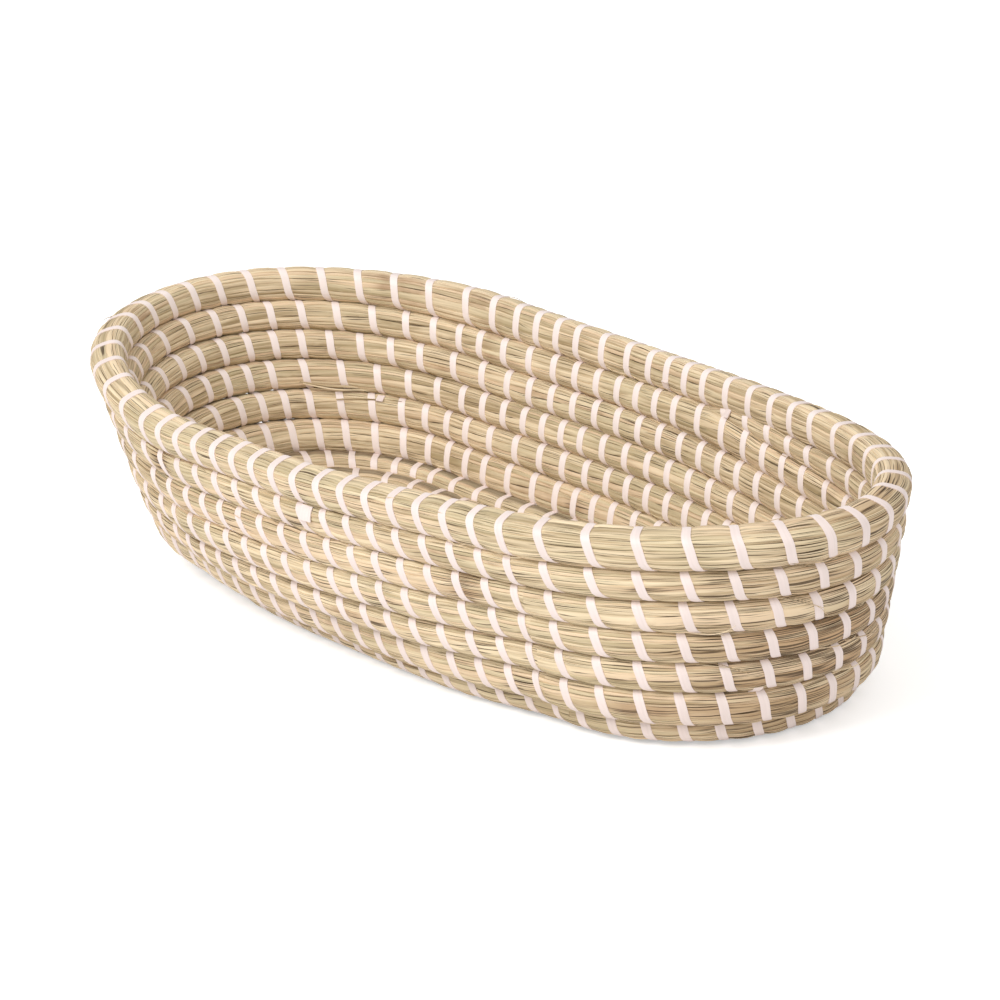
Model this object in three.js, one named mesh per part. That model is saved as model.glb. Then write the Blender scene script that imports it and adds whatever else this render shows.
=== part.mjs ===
// Oblong bread basket of coiled seagrass, bound with a flat white strip.
// One bundle of stalks lies as a flat oblong spiral in the base and climbs on as the leaning wall.
// A thicker bundle lies on the wall as the rim.
// Millimetres, +Z up. The origin is the middle of the underside. The coil climbs past the +X end.
import * as THREE from "three";

// Outline
const HEART_HALF_LENGTH = 88.6; // half of the straight run that the coil starts with
const BASE_COURSES = 5; // loops of the flat base round that run
const WALL_COURSES = 6; // courses of the wall, the rim included
const FOOT_OUTSET = 7.9; // the first wall course stands this far outside the base
const WALL_FLARE = 3.7; // each later course stands this far outside the one below it
const RIM_OVAL = 0.53; // 0 leaves the rim's long sides straight, 1 bows them into an ellipse
const RIM_TAPER = 0.093; // share by which the rim is wider at the -X end and narrower at the +X end
const RIM_SHIFT_X = -3.9; // the rim of the handmade basket stands this far off the base's middle
const RIM_SHIFT_Y = -2.1;
const BASE_BOW = 8; // the base's near side bows out this far at its middle

// Seagrass bundle
const BASE_COIL_WIDTH = 9.25; // in the flat base
const BASE_COIL_HEIGHT = 10.6;
const WALL_COIL_WIDTH = 12; // across the wall
const WALL_COIL_HEIGHT = 9.5; // along the wall, at the middle of the long sides
const END_SWELL = 1.15; // the bundle is this much thicker at the two ends
const RIM_SWELL = 2.8; // and the rim's own bundle is this much thicker all round
const TAIL_WIDTH = 7; // of the wall's thinned end
const TAIL_SHARE = 0.6; // part of the climb that the thinned end runs over
const CLIMB_START = 0.7; // share of the +X end that a turn passes before it starts to climb
const SPLICE_SHARE = 0.1; // the base ends this share of the near side before the +X end

// Binding strip
const STRIP_WIDTH = 3.4;
const STRIP_THICKNESS = 0.5;
const STRIP_TURNS = 17; // round each bound course
const STRIP_SLANT = 9; // how far a turn moves on while it crosses the outside
const CLEARANCE = 0.3; // between pieces that touch

// Facets
const SIDES = 6; // of the bundle's section, with one flat up and one down
const ARC_STEPS = 9; // round each end
const SIDE_STEPS = 4; // along each side

// Derived sizes
const STRIP_ROOM = STRIP_THICKNESS + 2.5 * CLEARANCE; // the facets twist a little where the coil climbs
const RIDGE_ROOM = STRIP_WIDTH * Math.tan(Math.PI / (2 * ARC_STEPS)); // a flat strip spans a bend's ridge
const BASE_PITCH = BASE_COIL_WIDTH + STRIP_ROOM;
const RIM = BASE_COURSES + WALL_COURSES;
const FLAT = Math.sin(Math.PI / 3); // a flat's distance from the middle of a hexagon of unit radius
const FOOT_LIFT = STRIP_THICKNESS + 1.5 * CLEARANCE; // the base's bound course clears the table by its strip
const QUARTERS = 4; // a loop is the +X end, the far side, the -X end and the near side

const lerp = THREE.MathUtils.lerp;

// How far the middle of a course lies from the heart, where course 0 is the heart itself
function offsetOf(course) {
  if (course <= BASE_COURSES) return course * BASE_PITCH;
  return BASE_COURSES * BASE_PITCH + FOOT_OUTSET + (course - BASE_COURSES - 1) * WALL_FLARE;
}

// Share of the wall's height at a course, from 0 on the base to 1 at the rim
function wallShare(course) {
  return Math.max(course - BASE_COURSES, 0) / WALL_COURSES;
}

// Place on the heart and heading from it, for a loop coordinate from 0 to 4
function headingAt(place) {
  const part = Math.min(Math.floor(place), QUARTERS - 1);
  const along = place - part;
  if (part === 0) return { heart: 1, angle: (along - 0.5) * Math.PI };
  if (part === 1) return { heart: 1 - 2 * along, angle: 0.5 * Math.PI };
  if (part === 2) return { heart: -1, angle: (along + 0.5) * Math.PI };
  return { heart: 2 * along - 1, angle: 1.5 * Math.PI };
}

// Middle of a whole course in plan
function planPoint(course, place) {
  const { heart, angle } = headingAt(place);
  const offset = offsetOf(course);
  const reach = HEART_HALF_LENGTH + offset;
  const x = HEART_HALF_LENGTH * heart + offset * Math.cos(angle);
  const straight = offset * Math.sin(angle);
  const ellipse = Math.sign(straight) * offset * Math.sqrt(Math.max(1 - (x / reach) ** 2, 0));
  const share = wallShare(course);
  const y = lerp(straight, ellipse, RIM_OVAL * share) * (1 - (RIM_TAPER * share * x) / reach);
  const out = Math.min(course / BASE_COURSES, 1) * (1 - share);
  const bow = place > QUARTERS - 1 ? BASE_BOW * out * (1 - heart ** 4) ** 2 : 0;
  return new THREE.Vector2(x + RIM_SHIFT_X * share, y + RIM_SHIFT_Y * share - bow);
}

// How far a course stands outside the course below it, square to its run
function stepTo(course, place) {
  const span = 1e-3;
  const ahead = planPoint(course, Math.min(place + span, QUARTERS));
  ahead.sub(planPoint(course, Math.max(place - span, 0))).normalize();
  const step = planPoint(course, place).sub(planPoint(course - 1, place));
  return step.dot(new THREE.Vector2(ahead.y, -ahead.x));
}

// Height of the bundle in a course of the wall
function bundleHeight(course, place) {
  if (course <= BASE_COURSES) return BASE_COIL_HEIGHT;
  const { heart, angle } = headingAt(place);
  const end = (heart * Math.cos(angle)) ** 2;
  return WALL_COIL_HEIGHT + END_SWELL * end + (course === RIM ? RIM_SWELL : 0);
}

// Rise from the course below to this course, so that the strip just passes between the two
function riseTo(course, place) {
  const step = stepTo(course, place);
  const lower = bundleHeight(course - 1, place);
  const pitch = (lower + bundleHeight(course, place)) / 2 + STRIP_ROOM;
  return Math.sqrt(pitch ** 2 - step ** 2);
}

// Rise to the first wall course, whose leaning underside clears the top corner of the base's last course
function footRise(place) {
  const lean = leanOf(BASE_COURSES + 1, place);
  const outset = stepTo(BASE_COURSES + 1, place);
  const corner = (BASE_COIL_WIDTH / 4) * lean.x + (BASE_COIL_HEIGHT / 2) * lean.y;
  const pitch = corner + bundleHeight(BASE_COURSES + 1, place) / 2 + STRIP_ROOM;
  return (pitch - outset * lean.x) / lean.y;
}

// Direction of the wall at a course, as outward and upward shares
function leanOf(course, place) {
  if (course <= BASE_COURSES) return new THREE.Vector2(0, 1);
  const upper = Math.max(course, BASE_COURSES + 2);
  return new THREE.Vector2(stepTo(upper, place), riseTo(upper, place)).normalize();
}

// Height of the middle of a whole course
function heightOf(course, place) {
  if (course < BASE_COURSES) return BASE_COIL_HEIGHT / 2;
  if (course === BASE_COURSES) return BASE_COIL_HEIGHT / 2 + FOOT_LIFT;
  const below = heightOf(course - 1, place);
  return below + (course === BASE_COURSES + 1 ? footRise(place) : riseTo(course, place));
}

// Middle of the bundle, its lean and its size where it is a share of the way up from one course to the next
function bundleAt(course, share, place) {
  const plan = planPoint(course, place);
  const section = {
    height: bundleHeight(course, place),
    width: course <= BASE_COURSES ? BASE_COIL_WIDTH : WALL_COIL_WIDTH,
    lean: leanOf(course, place),
  };
  const middle = new THREE.Vector3(plan.x, plan.y, heightOf(course, place));
  if (share === 0) return { middle, ...section };
  const next = bundleAt(course + 1, 0, place);
  middle.lerp(next.middle, share);
  if (course >= BASE_COURSES) middle.z += footRise(place) * (Math.sin((share * Math.PI) / 2) - share);
  return {
    middle,
    height: lerp(section.height, next.height, share),
    width: lerp(section.width, next.width, share),
    lean: section.lean.lerp(next.lean, share).normalize(),
  };
}

// The bundle on a turn, which climbs one course from the +X end to the far side and is level elsewhere
function bundleOnTurn(turn, place) {
  const way = THREE.MathUtils.clamp(place - CLIMB_START, 0, 1);
  const climbed = (1 - Math.cos(way * Math.PI)) / 2;
  return way === 1 ? bundleAt(turn + 1, 0, place) : bundleAt(turn, climbed, place);
}

// The wall's end thins out over the turn that climbs beneath it, so that the rim lies level on both
function tailAt(place) {
  const last = bundleAt(RIM - 1, 0, place);
  const beneath = bundleOnTurn(RIM - 2, place);
  const up = last.middle.distanceTo(beneath.middle);
  const bottom = beneath.height / 2 + STRIP_ROOM + CLEARANCE - up;
  const top = last.height / 2;
  const outward = last.middle.clone().sub(beneath.middle).divideScalar(Math.max(up, CLEARANCE));
  const thinned = Math.max(place - CLIMB_START, 0) / TAIL_SHARE;
  const width = lerp(WALL_COIL_WIDTH, TAIL_WIDTH, thinned);
  const middle = last.middle.clone().addScaledVector(outward, (top + bottom) / 2);
  return { middle, height: top - bottom, width, lean: last.lean };
}

// Horizontal direction out of the basket, square to the bundle's run
function outwardAt(locate, turn, place) {
  const step = 1e-3;
  const last = Math.min(place + step, QUARTERS);
  const ahead = locate(turn, last).middle.sub(locate(turn, last - step).middle);
  return new THREE.Vector3(ahead.y, -ahead.x, 0).normalize();
}

// Section of the bundle with its size, at a place on a turn
function ringAt(locate, turn, place) {
  const { middle, height, width, lean } = locate(turn, place);
  const out = outwardAt(locate, turn, place);
  const up = new THREE.Vector3(0, 0, lean.y).addScaledVector(out, lean.x);
  const across = new THREE.Vector3(0, 0, -lean.x).addScaledVector(out, lean.y);
  const coordinate = turn * QUARTERS + place;
  return { coordinate, middle, up, across, halfHeight: height / 2, halfWidth: width / 2 };
}

// Point of a section at an angle from the outward direction, on a section that is larger by the given room
function sectionPoint(ring, angle, room = 0, outset = 0) {
  const scale = 1 + room / ring.halfHeight;
  return ring.middle
    .clone()
    .addScaledVector(ring.across, ring.halfWidth * scale * Math.cos(angle) + outset)
    .addScaledVector(ring.up, (ring.halfHeight / FLAT) * scale * Math.sin(angle));
}

// Places along one turn, from one place to another, with more steps round the ends
function placesBetween(first, last) {
  const places = [first];
  for (let part = Math.floor(first); part < last; part++) {
    const steps = part % 2 === 0 ? ARC_STEPS : SIDE_STEPS;
    for (let step = 1; step <= steps; step++) {
      const place = part + step / steps;
      if (place > first && place < last) places.push(place);
    }
  }
  return [...places, last];
}

// Closed tube through rings of points, with flat ends
function tubeGeometry(rings) {
  const count = rings[0].length;
  const positions = rings.flat().flatMap((point) => point.toArray());
  const faces = [];
  for (let ring = 0; ring + 1 < rings.length; ring++) {
    for (let side = 0; side < count; side++) {
      const a = ring * count + side;
      const b = ring * count + ((side + 1) % count);
      if (side < count / 2) faces.push(a, a + count, b, b, a + count, b + count);
      else faces.push(a, a + count, b + count, a, b + count, b);
    }
  }
  const end = (rings.length - 1) * count;
  for (let side = 1; side + 1 < count; side++) {
    faces.push(0, side, side + 1, end, end + side + 1, end + side);
  }
  const geometry = new THREE.BufferGeometry();
  geometry.setAttribute("position", new THREE.Float32BufferAttribute(positions, 3));
  geometry.setIndex(faces);
  geometry.computeVertexNormals();
  return geometry;
}

// Least distance between points of a tube that lie more than a quarter of a loop apart along it
function leastGap(rings, apart) {
  let least = Infinity;
  rings.forEach((ring, index) => {
    for (const other of rings.slice(index + apart)) {
      for (const a of ring) {
        for (const b of other) least = Math.min(least, a.distanceTo(b));
      }
    }
  });
  return least;
}

const corners = Array.from({ length: SIDES }, (_, side) => (side * 2 * Math.PI) / SIDES);
const basket = new THREE.Group();

function addPiece(name, rings, apart, material) {
  console.log(`${name}: least gap to itself ${leastGap(rings, apart).toFixed(2)} mm`);
  const piece = new THREE.Mesh(tubeGeometry(rings), material);
  piece.name = name;
  basket.add(piece);
}

function seagrass() {
  return new THREE.MeshStandardMaterial({ color: 0xc6b184, roughness: 0.8, metalness: 0 });
}

function polypropylene() {
  return new THREE.MeshStandardMaterial({ color: 0xefe7e0, roughness: 0.45, metalness: 0 });
}

// Base: the heart, then the flat loops
const spliceEnd = QUARTERS - SPLICE_SHARE;
const baseRings = placesBetween(QUARTERS - 1, QUARTERS).map((place) =>
  ringAt(bundleOnTurn, -1, place),
);
for (let turn = 0; turn < BASE_COURSES; turn++) {
  const last = turn === BASE_COURSES - 1 ? spliceEnd : QUARTERS;
  const first = turn === 0 ? CLIMB_START : 0;
  const places = placesBetween(first, last).slice(1);
  baseRings.push(...places.map((place) => ringAt(bundleOnTurn, turn, place)));
}

// Wall: it goes on from the base's end, climbs course by course and ends in a tail beneath the rim
const nearSide = 2 * HEART_HALF_LENGTH;
const spliceStart = spliceEnd + CLEARANCE / nearSide;
const wallRings = [spliceStart, QUARTERS].map((place) => ringAt(bundleOnTurn, BASE_COURSES - 1, place));
for (let turn = BASE_COURSES; turn < RIM - 1; turn++) {
  const places = placesBetween(0, QUARTERS).slice(1);
  wallRings.push(...places.map((place) => ringAt(bundleOnTurn, turn, place)));
}
const tailPlaces = placesBetween(0, CLIMB_START + TAIL_SHARE).slice(1);
wallRings.push(...tailPlaces.map((place) => ringAt((turn, at) => tailAt(at), RIM - 1, place)));

// Rim: a ring whose two ends meet where the near side goes over into the +X end
const rimPlaces = placesBetween(0, QUARTERS - CLEARANCE / nearSide);
const rimRings = rimPlaces.map((place) => ringAt((turn, at) => bundleAt(turn, 0, at), RIM, place));

const outlineOf = (rings) => rings.map((ring) => corners.map((angle) => sectionPoint(ring, angle)));
addPiece("base_coil", outlineOf(baseRings), ARC_STEPS, seagrass());
addPiece("wall_coil", outlineOf(wallRings), ARC_STEPS, seagrass());
addPiece("rim_coil", outlineOf(rimRings), ARC_STEPS, seagrass());

// Point on the faceted bundle, grown by the given room, between the two sections that enclose a coordinate
function surfacePoint(rings, coordinate, angle, room, outset) {
  const after = rings.findIndex((ring) => ring.coordinate >= coordinate);
  const before = rings[after - 1];
  const share = (coordinate - before.coordinate) / (rings[after].coordinate - before.coordinate);
  const end = sectionPoint(rings[after], angle, room, outset);
  return sectionPoint(before, angle, room, outset).lerp(end, share);
}

// Loop coordinates at even lengths along a course, measured in small steps
function evenPlaces(course) {
  const steps = 400;
  const table = [{ place: 0, length: 0 }];
  for (let step = 1; step <= steps; step++) {
    const place = (step * QUARTERS) / steps;
    const walked = planPoint(course, place).distanceTo(planPoint(course, table[step - 1].place));
    table.push({ place, length: table[step - 1].length + walked });
  }
  const total = table[steps].length;
  const placeAt = (length) => {
    const passed = table.filter((row) => row.length < length).length;
    const after = THREE.MathUtils.clamp(passed, 1, steps);
    const [low, high] = [table[after - 1], table[after]];
    return lerp(low.place, high.place, (length - low.length) / (high.length - low.length));
  };
  return { total, placeAt };
}

// Binding of one turn of the coil: over the top, slanting down the outside, back under it and up the inside
function bindingRings(rings, turn, firstPlace) {
  const { total, placeAt } = evenPlaces(BASE_COURSES + WALL_COURSES / 2);
  const pitch = total / STRIP_TURNS;
  const inside = pitch - STRIP_SLANT;
  const stops = [
    { angle: corners[2], along: 0, outset: 0 },
    { angle: corners[1], along: 0, outset: RIDGE_ROOM },
    { angle: corners[0], along: STRIP_SLANT / 2, outset: RIDGE_ROOM },
    { angle: corners[5], along: STRIP_SLANT, outset: RIDGE_ROOM },
    { angle: corners[4], along: STRIP_SLANT, outset: 0 },
    { angle: corners[3], along: STRIP_SLANT + inside / 2, outset: 0 },
  ];
  const strip = [];
  for (let wind = 0; wind < STRIP_TURNS; wind++) {
    for (const { angle, along, outset } of stops) {
      const length = (wind + 0.5) * pitch - STRIP_SLANT / 2 + along;
      const left = placeAt(length - STRIP_WIDTH / 2);
      const right = placeAt(length + STRIP_WIDTH / 2);
      if (left < firstPlace || right > spliceEnd) continue;
      const point = (place, room) => surfacePoint(rings, turn * QUARTERS + place, angle, room, outset);
      const outer = CLEARANCE + STRIP_THICKNESS;
      strip.push([
        point(left, CLEARANCE),
        point(left, outer),
        point(right, outer),
        point(right, CLEARANCE),
      ]);
    }
  }
  return strip;
}

const levelPlace = CLIMB_START + 1; // where a turn has reached its course
addPiece("base_binding", bindingRings(baseRings, BASE_COURSES - 1, levelPlace), SIDES, polypropylene());
for (let course = 1; course < WALL_COURSES; course++) {
  const rings = bindingRings(wallRings, BASE_COURSES + course - 1, 0);
  addPiece(`wall_binding_${course}`, rings, SIDES, polypropylene());
}
addPiece("rim_binding", bindingRings(rimRings, RIM, 0), SIDES, polypropylene());

// The origin goes to the middle of the underside
const box = new THREE.Box3().setFromObject(basket);
const middle = box.getCenter(new THREE.Vector3());
basket.position.set(-middle.x, -middle.y, -box.min.z);

export default basket;
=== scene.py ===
"""Oblong bread basket of coiled seagrass, bound with a flat white strip.

The coil's run repeats the sizes of the part's source, in metres. A few small forms, such as the sag of the
near wall, are in this scene alone and have sizes of their own.
"""
import logging
import math
from dataclasses import dataclass, field
from enum import Enum
from typing import Any, ClassVar, Optional, Union

import bpy
import numpy as np
from mathutils import Matrix, Vector


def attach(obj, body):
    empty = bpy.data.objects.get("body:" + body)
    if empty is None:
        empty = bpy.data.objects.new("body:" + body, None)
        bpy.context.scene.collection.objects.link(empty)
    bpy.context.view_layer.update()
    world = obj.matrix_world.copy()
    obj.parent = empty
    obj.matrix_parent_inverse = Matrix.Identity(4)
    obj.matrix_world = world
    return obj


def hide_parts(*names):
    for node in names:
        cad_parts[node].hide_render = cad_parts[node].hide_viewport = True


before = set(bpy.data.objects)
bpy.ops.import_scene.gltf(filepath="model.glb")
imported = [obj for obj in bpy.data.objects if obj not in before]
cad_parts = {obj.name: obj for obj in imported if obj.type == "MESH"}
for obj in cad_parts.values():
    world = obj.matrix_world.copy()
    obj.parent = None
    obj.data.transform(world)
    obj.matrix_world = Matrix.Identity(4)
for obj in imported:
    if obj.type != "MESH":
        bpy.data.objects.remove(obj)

Array = np.ndarray
LOG = logging.getLogger("basket")
ROOT = "root"


class Slot(Enum):
    """Material slots of the record."""

    SEAGRASS = "seagrass"
    STRIP = "binding_strip"


class Column(Enum):
    """Vertex columns of one stalk on the bundle's skin."""

    GROOVE = 0
    LEFT = 1
    CROWN = 2
    RIGHT = 3


class Trait(Enum):
    """What drifts along a bundle's stalks: a number for its seed, and its span in stitches."""

    EDGE_SHORT = (1, 1.0)
    EDGE_LONG = (2, 4.0)
    TONE_SHORT = (4, 1.0)
    HUE = (5, 4.0)
    LIFT = (6, 1.0)
    PARTING = (7, 1.3)
    TONE_LONG = (8, 5.0)


@dataclass
class Section:
    """Middles, leans and sizes of the bundle at a row of places."""

    middle: Array
    lean: Array
    height: Array
    width: Array

    def blended(self, other: "Section", share: Array) -> "Section":
        """Moves part of the way to another row of sections.

        Args:
            other: sections at the same places on the next course.
            share: 0 keeps this section and 1 takes the other, for each place.

        Returns:
            The sections in between.
        """
        part = share[:, None]
        lean = self.lean * (1 - part) + other.lean * part
        return Section(
            self.middle * (1 - part) + other.middle * part,
            lean / np.linalg.norm(lean, axis=1, keepdims=True),
            self.height * (1 - share) + other.height * share,
            self.width * (1 - share) + other.width * share,
        )


@dataclass(frozen=True)
class BasketShape:
    """Sizes of the coil and the places that follow from them.

    The fields down to foot_lift repeat the part's source, and the others are forms that only the scene has.
    """

    heart: float = 0.0886
    base_courses: int = 5
    wall_courses: int = 6
    foot_outset: float = 0.0079
    flare: float = 0.0037
    oval: float = 0.53
    taper: float = 0.093
    rim_shift: tuple[float, float] = (-0.0039, -0.0021)
    base_bow: float = 0.008
    base_width: float = 0.00925
    base_height: float = 0.0106
    wall_width: float = 0.012
    wall_height: float = 0.0095
    end_swell: float = 0.00115
    rim_swell: float = 0.0028
    tail_width: float = 0.007
    tail_share: float = 0.6
    climb_start: float = 0.7
    strip_room: float = 0.00125
    foot_lift: float = 0.00095
    tail_height: float = 0.0068
    tail_front: float = 0.003
    tip_lead: float = 0.1
    tip_run: float = 0.12
    tip_thinning: float = 0.75
    base_fill: float = 0.0012
    foot_fill: float = 0.0014
    base_sunk: float = 0.0011
    wall_proud: float = 0.0003
    wall_spread: float = 0.0002
    fill_start: float = 1.15
    fill_run: float = 0.15
    heart_tip: float = 0.0045
    heart_tip_run: float = 0.1
    swell_places: tuple[float, ...] = (0, 0.5, 0.9, 1.15, 1.5, 1.75, 2, 2.2, 2.5, 3.05, 3.45, 4)
    swell_shares: tuple[float, ...] = (0.5, 0.35, 0.3, 0.4, 0.5, 0.65, 1, 0.6, 0.4, 0, 0, 0.5)
    end_rise: float = 0.009
    rise_start: float = 0.06
    rise_run: float = 0.11
    wall_top: float = 0.077
    sag: float = 0.0028
    sag_foot: float = 0.03
    sag_depth: float = 0.02
    sag_places: tuple[float, ...] = (-0.13, -0.075, -0.01, 0.04, 0.085)
    sag_shares: tuple[float, ...] = (0, 1, 1, 0.6, 0)
    bulge: float = 0.0062
    bulge_levels: tuple[float, ...] = (0.012, 0.022, 0.033, 0.045, 0.057, 0.07)
    bulge_shares: tuple[float, ...] = (0, 0.7, 1, 0.75, 0.3, 0)

    @property
    def rim(self) -> int:
        """Number of the rim's course."""
        return self.base_courses + self.wall_courses

    def offset(self, course: int) -> float:
        """Distance of a course from the straight run that the coil starts with."""
        pitch = self.base_width + self.strip_room
        if course <= self.base_courses:
            return course * pitch
        return self.base_courses * pitch + self.foot_outset + (course - self.base_courses - 1) * self.flare

    def heading(self, place: Array) -> tuple[Array, Array]:
        """Place on the heart and angle from it.

        Args:
            place: loop coordinates from 0 to 4: the +X end, the far side, the -X end, the near side.

        Returns:
            The place on the heart from -1 to 1, and the angle.
        """
        part = np.minimum(np.floor(place), 3)
        along = place - part
        cases = [part == 0, part == 1, part == 2]
        heart = np.select(cases, [along * 0 + 1, 1 - 2 * along, along * 0 - 1], 2 * along - 1)
        quarter = math.pi / 2
        angle = np.select(
            cases,
            [(along - 0.5) * math.pi, along * 0 + quarter, (along + 0.5) * math.pi],
            along * 0 + 3 * quarter,
        )
        return heart, angle

    def plan(self, course: int, place: Array) -> Array:
        """Middle of a whole course in plan."""
        heart, angle = self.heading(place)
        offset = self.offset(course)
        reach = self.heart + offset
        x = self.heart * heart + offset * np.cos(angle)
        straight = offset * np.sin(angle)
        bowed = np.sign(straight) * offset * np.sqrt(np.maximum(1 - (x / reach) ** 2, 0))
        share = max(course - self.base_courses, 0) / self.wall_courses
        y = (straight + (bowed - straight) * self.oval * share) * (1 - self.taper * share * x / reach)
        y = y - min(course / self.base_courses, 1) * (1 - share) * self.bow(place)
        return np.stack([x + self.rim_shift[0] * share, y + self.rim_shift[1] * share], axis=1)

    def bow(self, place: Array) -> Array:
        """How far the base's last course bows out on the near side."""
        heart, _ = self.heading(place)
        return np.where(place > 3, self.base_bow * (1 - heart**4) ** 2, 0)

    def step(self, course: int, place: Array) -> Array:
        """Distance of a course outside the course below it, square to its run."""
        span = 1e-3
        before, after = np.maximum(place - span, 0), np.minimum(place + span, 4)
        ahead = self.plan(course, after) - self.plan(course, before)
        ahead /= np.linalg.norm(ahead, axis=1, keepdims=True)
        step = self.plan(course, place) - self.plan(course - 1, place)
        return step[:, 0] * ahead[:, 1] - step[:, 1] * ahead[:, 0]

    def thickness(self, course: int, place: Array) -> Array:
        """Height of the bundle along the wall."""
        if course <= self.base_courses:
            return np.full(place.shape, self.base_height)
        heart, angle = self.heading(place)
        swell = self.end_swell * (heart * np.cos(angle)) ** 2
        if course == self.rim:
            swell = swell + self.rim_swell * np.interp(place, self.swell_places, self.swell_shares)
        return self.wall_height + swell

    def rise(self, course: int, place: Array) -> Array:
        """Rise from the course below, which leaves room for the strip."""
        pitch = (self.thickness(course - 1, place) + self.thickness(course, place)) / 2 + self.strip_room
        return np.sqrt(pitch**2 - self.step(course, place) ** 2)

    def lean(self, course: int, place: Array) -> Array:
        """Direction of the wall as outward and upward shares."""
        if course <= self.base_courses:
            return np.tile([0.0, 1.0], (len(place), 1))
        upper = max(course, self.base_courses + 2)
        lean = np.stack([self.step(upper, place), self.rise(upper, place)], axis=1)
        return lean / np.linalg.norm(lean, axis=1, keepdims=True)

    def foot_rise(self, place: Array) -> Array:
        """Rise from the base's last course to the wall's first."""
        first = self.base_courses + 1
        lean = self.lean(first, place)
        corner = self.base_width / 4 * lean[:, 0] + self.base_height / 2 * lean[:, 1]
        pitch = corner + self.thickness(first, place) / 2 + self.strip_room
        return (pitch - self.step(first, place) * lean[:, 0]) / lean[:, 1]

    def level(self, course: int, place: Array) -> Array:
        """Height of the middle of a whole course."""
        if course <= self.base_courses:
            lift = self.foot_lift if course == self.base_courses else 0
            return np.full(place.shape, self.base_height / 2 + lift)
        rise = self.foot_rise(place) if course == self.base_courses + 1 else self.rise(course, place)
        return self.level(course - 1, place) + rise

    def course(self, course: int, place: Array) -> Section:
        """Sections of a whole course, as large as the bundle with its stalks, and closed at the foot."""
        in_base = course <= self.base_courses
        fill = {self.base_courses: self.base_fill, self.base_courses + 1: -self.foot_fill}.get(course, 0.0)
        proud = -self.base_sunk if in_base else self.strip_room + self.wall_proud
        height = self.thickness(course, place) + abs(fill) + proud
        width = np.full(place.shape, self.wall_width + self.wall_spread)
        if in_base:
            width = self.base_width + self.strip_room + fill + self.bow(place) / self.base_courses
        middle = np.column_stack([self.plan(course, place), self.level(course, place) + fill / 2])
        return Section(middle, self.lean(course, place), height, width)

    def turn(self, turn: int, place: Array) -> Section:
        """Sections on a turn, which climbs one course between the +X end and the far side."""
        climbed = (1 - np.cos(np.clip(place - self.climb_start, 0, 1) * math.pi)) / 2
        sections = self.course(turn, place).blended(self.course(turn + 1, place), climbed)
        if turn >= self.base_courses:
            sections.middle[:, 2] += self.foot_rise(place) * (np.sin(climbed * math.pi / 2) - climbed)
        return sections

    def filled(self, place: Array) -> Section:
        """Sections of the turn below the rim, which swells past the wall's end and fills the wedge there."""
        sections = self.turn(self.rim - 2, place)
        way = self.course(self.rim - 1, place).middle - sections.middle
        past = np.clip((place - self.fill_start) / self.fill_run, 0, 1)
        sections.middle += way / 2 * past[:, None]
        sections.height += np.linalg.norm(way, axis=1) * past
        return sections

    def settle(self, middle: Array) -> Array:
        """Moves middles to where use has left them: the -X end lifted, the near wall sagged and bulging.

        Args:
            middle: middles of the bundle before they are moved to the frame's origin; they are changed.

        Returns:
            The share of its height that the bundle keeps at each middle.
        """
        along, across, level = middle.T
        lift = self.end_rise * np.clip((-along - self.rise_start) / self.rise_run, 0, 1) ** 2
        near = np.interp(along, self.sag_places, self.sag_shares)
        near = near * np.clip(-across / self.sag_depth, 0, 1)
        sag = self.sag * near
        kept = 1 - lift / self.wall_top - np.where(level < self.sag_foot, sag / self.sag_foot, 0)
        bulge = self.bulge * near * np.interp(level, self.bulge_levels, self.bulge_shares)
        middle[:, 2] += lift * (1 - level / self.wall_top) - sag * np.minimum(level / self.sag_foot, 1)
        middle[:, 1] -= bulge
        return kept

    def tail(self, place: Array) -> Section:
        """Sections of the wall's end, which thins out over the climbing turn, in front of the rim."""
        last = self.course(self.rim - 1, place)
        beneath = self.turn(self.rim - 2, place)
        way = last.middle - beneath.middle
        room = np.linalg.norm(way, axis=1)
        outward = way / np.maximum(room, 1e-4)[:, None]
        thinned = np.maximum(place - self.climb_start, 0) / self.tail_share
        width = last.width + (self.tail_width - last.width) * np.minimum(thinned, 1)
        tip = np.clip((place - self.climb_start - self.tail_share + self.tip_lead) / self.tip_run, 0, 1)
        height = np.maximum(room * (1 - tip), self.tail_height * (1 - self.tip_thinning * tip**2))
        middle = last.middle + outward * ((last.height + height) / 2 - room)[:, None]
        ahead = np.gradient(middle[:, :2], axis=0)
        ahead /= np.linalg.norm(ahead, axis=1, keepdims=True)
        front = self.tail_front * np.clip(thinned, 0, 1)
        middle[:, 0] -= ahead[:, 1] * front
        middle[:, 1] += ahead[:, 0] * front
        return Section(middle, last.lean, height, width)


@dataclass(frozen=True)
class Drift:
    """Seeded families of curves along the coil, between -1 and 1, straight from stitch to stitch."""

    seed: int
    count: int
    span: float
    knots: int = 4096

    def at(self, curve: Array, phase: Array) -> Array:
        """Values of the numbered curves at stitch counts, the span being in stitches too."""
        table = np.random.default_rng(self.seed).uniform(-1, 1, (self.count, self.knots))
        position = phase / self.span
        low = np.floor(position).astype(int)
        mix = position - low
        before = table[curve, low % self.knots]
        after = table[curve, (low + 1) % self.knots]
        return before * (1 - mix) + after * mix


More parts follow.
